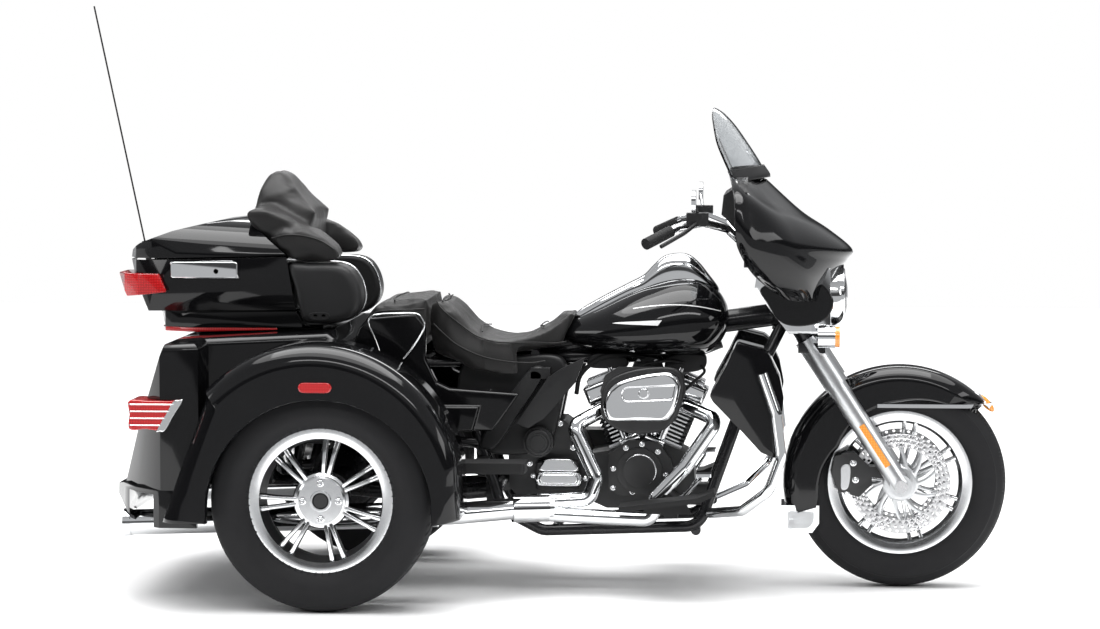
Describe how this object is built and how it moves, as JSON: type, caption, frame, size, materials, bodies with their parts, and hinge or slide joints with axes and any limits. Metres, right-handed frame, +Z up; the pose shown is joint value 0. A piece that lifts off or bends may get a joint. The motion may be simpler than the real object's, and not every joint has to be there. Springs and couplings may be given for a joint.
{
  "type": "motorized trike",
  "caption": "Three-wheeled touring motorcycle with steered fork, fork fairing, finned vee engine, seats, rear trunk and luggage box on cast wheels.",
  "frame": {"origin": "middle of the bounding box on the floor, between the wheels", "axes": "+X forward, +Y to the rider's left, +Z up"},
  "size_m": [2.83, 1.402, 1.7575],
  "materials": {
    "tyre": "dull black tyre rubber",
    "cast_wheel": "machined cast alloy with dark pockets",
    "steel": "machined disc steel",
    "chrome": "bright chrome",
    "satin_metal": "satin silver",
    "frame_paint": "black gloss paint",
    "body_paint": "deep gloss black",
    "body_plastic": "deep gloss black moulded panel",
    "engine_black": "black wrinkle coat, bright fin edges",
    "dark_plastic": "dark grey satin plastic",
    "seat_cover": "black grained seat cover",
    "rubber": "soft black rubber",
    "red_lens": "clear red lens",
    "amber_lens": "clear amber lens",
    "clear_screen": "clear polycarbonate",
    "lamp_glass": "clear lamp lens"
  },
  "bodies": {
    "chassis": {"frame": "frame_paint", "rear_axle": "frame_paint", "engine_case": "engine_black", "cylinders": "engine_black", "rocker_covers": "chrome", "engine_covers": "chrome", "air_cleaner_backplate": "engine_black", "air_cleaner_cover": "chrome", "exhaust": "chrome", "fuel_tank": "body_paint", "tank_console": "chrome", "rider_seat": "seat_cover", "passenger_seat": "seat_cover", "side_panels": "body_plastic", "side_covers": "dark_plastic", "trunk_body": "body_plastic", "rear_fenders": "body_plastic", "rear_valance": "body_plastic", "tail_lamps": "red_lens", "luggage_box": "body_plastic", "luggage_rack": "body_plastic", "luggage_lamps": "red_lens", "latch_plate": "chrome", "speaker_pods": "dark_plastic", "aerial": "rubber", "lower_fairings": "body_plastic", "engine_guards": "chrome", "footboards": "rubber", "foot_pedals": "chrome"},
    "fork": {"fork_sliders": "satin_metal", "front_axle": "steel", "fork_clamps": "frame_paint", "front_fender": "body_paint", "fender_trim": "chrome", "front_calipers": "engine_black", "lamp_nacelle": "chrome", "headlamp_lens": "lamp_glass", "signal_bar": "chrome", "amber_lenses": "amber_lens", "fairing_shell": "body_plastic", "dash_panel": "dark_plastic", "windshield": "clear_screen", "handlebar": "chrome", "hand_grips": "rubber", "hand_controls": "dark_plastic", "mirrors": "chrome"},
    "front_wheel": {"front_tyre": "tyre", "front_rim": "cast_wheel", "front_discs": "steel"},
    "rear_wheel_left": {"rear_tyre_left": "tyre", "rear_rim_left": "cast_wheel"},
    "rear_wheel_right": {"rear_tyre_right": "tyre", "rear_rim_right": "cast_wheel"},
    "trunk_door": {"trunk_door": "body_plastic"},
    "luggage_lid": {"luggage_lid": "body_plastic", "backrest": "seat_cover"},
    "glovebox_lid_left": {"glovebox_lid_left": "body_plastic"},
    "glovebox_lid_right": {"glovebox_lid_right": "body_plastic"}
  },
  "joints": [
    {"name": "steering", "type": "hinge", "parent": "chassis", "child": "fork", "pos_m": [0.7766, 0, 0.86], "axis": [-0.4384, 0, 0.8988], "range_deg": [-28, 28]},
    {"name": "front_wheel_spin", "type": "hinge", "parent": "fork", "child": "front_wheel", "pos_m": [1.096, 0, 0.319], "axis": [0, 1, 0], "continuous": true},
    {"name": "rear_wheel_left_spin", "type": "hinge", "parent": "chassis", "child": "rear_wheel_left", "pos_m": [-0.574, 0.557, 0.3235], "axis": [0, 1, 0], "continuous": true},
    {"name": "rear_wheel_right_spin", "type": "hinge", "parent": "chassis", "child": "rear_wheel_right", "pos_m": [-0.574, -0.557, 0.3235], "axis": [0, 1, 0], "continuous": true},
    {"name": "trunk_door_hinge", "type": "hinge", "parent": "chassis", "child": "trunk_door", "pos_m": [-1.1712, 0, 0.379], "axis": [0, -1, 0], "range_deg": [0, 85]},
    {"name": "luggage_lid_hinge", "type": "hinge", "parent": "chassis", "child": "luggage_lid", "pos_m": [-0.964, 0.297, 1], "axis": [-1, 0, 0], "range_deg": [0, 85]},
    {"name": "glovebox_left_hinge", "type": "hinge", "parent": "chassis", "child": "glovebox_lid_left", "pos_m": [0.5474, 0.26, 0.6239], "axis": [0, -1, 0], "range_deg": [0, 75]},
    {"name": "glovebox_right_hinge", "type": "hinge", "parent": "chassis", "child": "glovebox_lid_right", "pos_m": [0.5474, -0.26, 0.6239], "axis": [0, -1, 0], "range_deg": [0, 75]}
  ]
}
